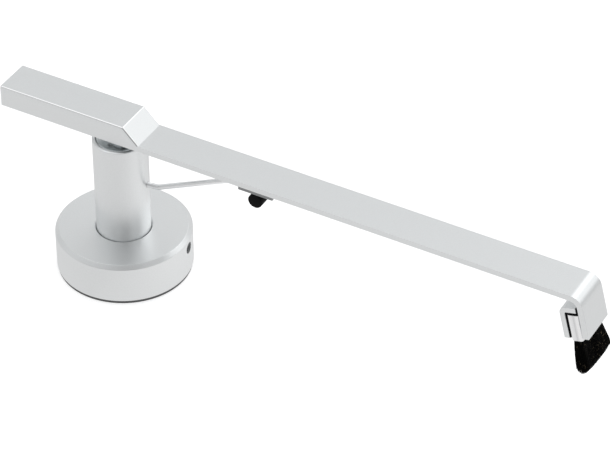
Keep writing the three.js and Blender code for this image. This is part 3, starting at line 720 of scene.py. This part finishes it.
bm = bmesh.new()
loops = []
for depth, inset in ferrule['rings']:
    ring = ferruleRing(bm, inset, depth)
    loops.append([edge for edge in bm.edges if all(vert in ring for vert in edge.verts)])
for upper, lower in zip(loops, loops[1:]):
    bmesh.ops.bridge_loops(bm, edges=upper + lower)
bmesh.ops.recalc_face_normals(bm, faces=bm.faces)
bmesh.ops.solidify(bm, geom=bm.faces, thickness=ferrule['wall'] * mm)
bmesh.ops.transform(bm, matrix=onLip, verts=bm.verts)
addPiece('plated_ferrule', bm, ferruleSheenPaint, 'arm', ['brush_ferrule'])

tuft = {
    'strands': 4400, 'points': 6, 'radius': 0.055, 'length': 13.4, 'mouth': -13.4, 'rootDepth': 1.6,
    'halfThickness': 1.7, 'halfWidth': 7.0, 'corner': 0.3, 'seed': 11,
    'flare': 0.35, 'spread': 0.5, 'bulge': 0.12, 'sweep': 0.8,
    'trim': 0.17, 'crest': -0.15, 'endTrim': 0.05, 'farGain': 0.03, 'ragged': 0.5, 'raggedPower': 1.5,
    'curl': 0.26, 'curlSize': 3.2, 'curlAcross': 0.6, 'taper': 0.3, 'taperPower': 3,
    'phases': 50, 'phaseAcross': 0.02, 'phaseDown': 0.15,
}


def tuftRoots(rng):
    roots = []
    while len(roots) < tuft['strands']:
        across = rng.uniform(-tuft['halfThickness'], tuft['halfThickness'])
        along = rng.uniform(-tuft['halfWidth'], tuft['halfWidth'])
        pastSide = max(0, abs(across) - tuft['halfThickness'] + tuft['corner'])
        pastEnd = max(0, abs(along) - tuft['halfWidth'] + tuft['corner'])
        if math.hypot(pastSide, pastEnd) <= tuft['corner']:
            roots.append((across, along))
    return roots


def strandPoint(across, along, depth, phase):
    fall = max(0, depth / tuft['length'])
    wave = noise.noise_vector((
        across * tuft['curlAcross'] + phase * tuft['phaseAcross'],
        along * tuft['curlAcross'],
        depth / tuft['curlSize'] + phase * tuft['phaseDown'],
    ))
    wider = 1 + tuft['bulge'] * math.sin(math.pi * min(1, fall)) + tuft['spread'] * fall
    x = across * wider + tuft['sweep'] * fall * fall + wave.x * tuft['curl'] * fall
    y = along * (1 + tuft['flare'] * fall) + wave.y * tuft['curl'] * fall
    return place(ferrule['middle'] + x, y, tuft['mouth'] - depth)


def tuftCurve():
    rng = random.Random(tuft['seed'])
    noise.seed_set(tuft['seed'])
    curve = bpy.data.curves.new('tuft', 'CURVE')
    curve.dimensions = '3D'
    curve.bevel_depth = tuft['radius'] * mm
    curve.bevel_resolution = 0
    curve.use_fill_caps = True
    for across, along in tuftRoots(rng):
        offCrest = (across / tuft['halfThickness'] - tuft['crest']) / (1 + abs(tuft['crest']))
        offMiddle = along / tuft['halfWidth']
        trimmed = tuft['trim'] * offCrest ** 2 + tuft['endTrim'] * offMiddle ** 2
        trimmed -= tuft['farGain'] * offMiddle
        length = tuft['length'] * (1 - trimmed)
        length -= tuft['ragged'] * rng.random() ** tuft['raggedPower']
        phase = rng.uniform(0, tuft['phases'])
        spline = curve.splines.new('POLY')
        spline.points.add(tuft['points'] - 1)
        for i, point in enumerate(spline.points):
            share = i / (tuft['points'] - 1)
            depth = share * (length + tuft['rootDepth']) - tuft['rootDepth']
            point.co = (*strandPoint(across, along, depth, phase), 1)
            point.radius = 1 - tuft['taper'] * share ** tuft['taperPower']
    return curve


curve = tuftCurve()
strands = bpy.data.objects.new('strands', curve)
scene.collection.objects.link(strands)
tuftMesh = bpy.data.meshes.new_from_object(strands.evaluated_get(bpy.context.evaluated_depsgraph_get()))
bpy.data.objects.remove(strands)
bm = bmesh.new()
bm.from_mesh(tuftMesh)
bpy.data.meshes.remove(tuftMesh)
bmesh.ops.transform(bm, matrix=onLip, verts=bm.verts)
addPiece('hair_tuft', bm, bristleHair, 'arm', ['bristles'], smoothTurn=100, flatten=False)
print('brush made')

# CAD nodes that stay, each with its finish

dressed = {
    'height_lock_screw': darkSteel,
    'upper_bush': bronze,
    'lower_bush': bronze,
    'thrust_washer': plastic,
    'swivel_head': turnedAluminium,
    'spindle': drawnSteel,
    'clip_washer': drawnSteel,
    'spindle_clip': darkSteel,
    'tilt_axle': drawnSteel,
    'axle_washer_near': plastic,
    'axle_washer_far': plastic,
    'block_screw_front': drawnSteel,
    'block_screw_rear': drawnSteel,
    # the bond and liner fill the slits around the ferrule in black: glue there, and also painted shade
    # for the dark gaps
    'clip_bond': rubber,
    'ferrule_liner': rubber,
    'brush_core': plastic,
}
for name, material in dressed.items():
    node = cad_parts[name]
    if not node.data.materials:
        node.data.materials.append(material)
    for holder in node.material_slots:
        holder.link = 'OBJECT'
        holder.material = material
print('kept nodes dressed')

# Studio: pale floor, soft directions of light all round, and the photographed view

studio = {
    'level': 0.7, 'tint': (0.985, 0.995, 1.0),
    # heading, start and end of the soft edge in degrees from it, and what it adds to the level
    'patches': [
        {'towards': (0.078, 0.638, 0.766), 'inner': 9, 'outer': 19, 'adds': 0.95},
        {'towards': (0.669, 0.669, 0.326), 'inner': 9, 'outer': 21, 'adds': 0.31},
        {'towards': (-0.150, 0.087, 0.985), 'inner': 8, 'outer': 30, 'adds': 0.24},
        {'towards': (0.257, -0.463, 0.848), 'inner': 6, 'outer': 28, 'adds': -0.24},
        {'towards': (-0.398, -0.085, 0.914), 'inner': 6, 'outer': 19, 'adds': 0.46},
        {'towards': (0.624, -0.743, 0.242), 'inner': 15, 'outer': 32, 'adds': -0.47},
        {'towards': (-0.119, -0.971, 0.208), 'inner': 12, 'outer': 29, 'adds': -0.38},
        {'towards': (-0.499, -0.535, 0.682), 'inner': 4, 'outer': 20, 'adds': -0.06},
        {'towards': (0.579, -0.211, 0.788), 'inner': 5, 'outer': 20, 'adds': -0.09},
        {'towards': (-0.986, 0.086, 0.139), 'inner': 6, 'outer': 30, 'adds': -0.06},
        {'towards': (0.801, 0.582, -0.139), 'inner': 8, 'outer': 36, 'adds': -0.36},
        {'towards': (0.517, 0.500, 0.695), 'inner': 14, 'outer': 28, 'adds': 0.38},
    ],
    'floorColour': (0.8, 0.8, 0.8), 'floorGlow': 0.58, 'floorSides': 64, 'floorGap': 0.05,
    # in metres
    'floorRadius': 4.0,
    # what metal sees of the floor: an even glow, with a painted pool of light as a brighter spot beside
    # the column
    'mirrored': 0.763, 'paintedLightPlace': (66, 14, 0), 'paintedLightRadius': 85, 'paintedLightAdds': 0.14,
}


def buildWorld():
    world = bpy.data.worlds.new('studio')
    scene.world = world
    world.use_nodes = True
    nodes, links = world.node_tree.nodes, world.node_tree.links
    nodes.clear()
    coords = nodes.new('ShaderNodeTexCoord')
    total = nodes.new('ShaderNodeMath')
    total.inputs[0].default_value = studio['level']
    total.inputs[1].default_value = 0
    for patch in studio['patches']:
        facing = nodes.new('ShaderNodeVectorMath')
        facing.operation = 'DOT_PRODUCT'
        facing.inputs[1].default_value = Vector(patch['towards']).normalized()
        links.new(coords.outputs['Generated'], facing.inputs[0])
        soft = nodes.new('ShaderNodeMapRange')
        soft.interpolation_type = 'SMOOTHERSTEP'
        soft.inputs['From Min'].default_value = math.cos(math.radians(patch['outer']))
        soft.inputs['From Max'].default_value = math.cos(math.radians(patch['inner']))
        soft.inputs['To Max'].default_value = patch['adds']
        links.new(facing.outputs['Value'], soft.inputs['Value'])
        added = nodes.new('ShaderNodeMath')
        links.new(total.outputs['Value'], added.inputs[0])
        links.new(soft.outputs['Result'], added.inputs[1])
        total = added
    light = nodes.new('ShaderNodeBackground')
    light.inputs['Color'].default_value = (*studio['tint'], 1)
    links.new(total.outputs['Value'], light.inputs['Strength'])
    white = nodes.new('ShaderNodeBackground')
    white.inputs['Color'].default_value = (1, 1, 1, 1)
    paths = nodes.new('ShaderNodeLightPath')
    mix = nodes.new('ShaderNodeMixShader')
    output = nodes.new('ShaderNodeOutputWorld')
    links.new(paths.outputs['Is Camera Ray'], mix.inputs['Fac'])
    links.new(light.outputs['Background'], mix.inputs[1])
    links.new(white.outputs['Background'], mix.inputs[2])
    links.new(mix.outputs['Shader'], output.inputs['Surface'])


# the floor's glow for glossy rays, raised in a round painted pool of light beside the column
def mirrorLevel(nodes, links):
    coords = nodes.new('ShaderNodeTexCoord')
    centre = nodes.new('ShaderNodeVectorMath')
    centre.operation = 'SUBTRACT'
    centre.inputs[1].default_value = place(*studio['paintedLightPlace'])
    size = nodes.new('ShaderNodeMapping')
    size.inputs['Scale'].default_value = [1 / (studio['paintedLightRadius'] * mm)] * 3
    fade = nodes.new('ShaderNodeTexGradient')
    fade.gradient_type = 'SPHERICAL'
    level = nodes.new('ShaderNodeMapRange')
    level.interpolation_type = 'SMOOTHSTEP'
    level.inputs['To Min'].default_value = studio['mirrored']
    level.inputs['To Max'].default_value = studio['mirrored'] + studio['paintedLightAdds']
    links.new(coords.outputs['Object'], centre.inputs[0])
    links.new(centre.outputs['Vector'], size.inputs['Vector'])
    links.new(size.outputs['Vector'], fade.inputs['Vector'])
    links.new(fade.outputs['Fac'], level.inputs['Value'])
    return level.outputs['Result']


def buildFloor():
    material = bpy.data.materials.new('pale floor')
    material.use_nodes = True
    nodes, links = material.node_tree.nodes, material.node_tree.links
    nodes.clear()
    matt = nodes.new('ShaderNodeBsdfDiffuse')
    matt.inputs['Color'].default_value = (*studio['floorColour'], 1)
    paths = nodes.new('ShaderNodeLightPath')
    seenGlow = nodes.new('ShaderNodeMath')
    seenGlow.operation = 'MULTIPLY'
    seenGlow.inputs[1].default_value = studio['floorGlow']
    glow = nodes.new('ShaderNodeEmission')
    seen = nodes.new('ShaderNodeAddShader')
    mirrored = nodes.new('ShaderNodeEmission')
    mix = nodes.new('ShaderNodeMixShader')
    output = nodes.new('ShaderNodeOutputMaterial')
    links.new(paths.outputs['Is Camera Ray'], seenGlow.inputs[0])
    links.new(seenGlow.outputs['Value'], glow.inputs['Strength'])
    links.new(matt.outputs['BSDF'], seen.inputs[0])
    links.new(glow.outputs['Emission'], seen.inputs[1])
    links.new(mirrorLevel(nodes, links), mirrored.inputs['Strength'])
    links.new(paths.outputs['Is Glossy Ray'], mix.inputs['Fac'])
    links.new(seen.outputs['Shader'], mix.inputs[1])
    links.new(mirrored.outputs['Emission'], mix.inputs[2])
    links.new(mix.outputs['Shader'], output.inputs['Surface'])
    bm = bmesh.new()
    bmesh.ops.create_circle(
        bm, cap_ends=True, segments=studio['floorSides'], radius=studio['floorRadius'],
    )
    bmesh.ops.translate(bm, verts=bm.verts, vec=place(0, 0, -studio['floorGap']))
    floor = looseObject('floor', bm)
    floor.data.materials.append(material)


# in metres, as the camera is; lens and sensor in millimetres
view = {
    'place': (0.47431, -0.71595, 0.69976), 'target': (0.075162, 0.0, 0.045561),
    'lens': 178.22, 'sensor': 36, 'nearest': 0.01, 'farthest': 50,
}


def buildCamera():
    camera = bpy.data.cameras.new('camera')
    camera.lens = view['lens']
    camera.sensor_fit = 'HORIZONTAL'
    camera.sensor_width = view['sensor']
    camera.clip_start = view['nearest']
    camera.clip_end = view['farthest']
    holder = bpy.data.objects.new('camera', camera)
    scene.collection.objects.link(holder)
    holder.location = view['place']
    aim = Vector(view['target']) - Vector(view['place'])
    holder.rotation_euler = aim.to_track_quat('-Z', 'Y').to_euler()
    scene.camera = holder


buildWorld()
buildFloor()
buildCamera()
scene.view_settings.view_transform = 'Standard'
print('studio made')
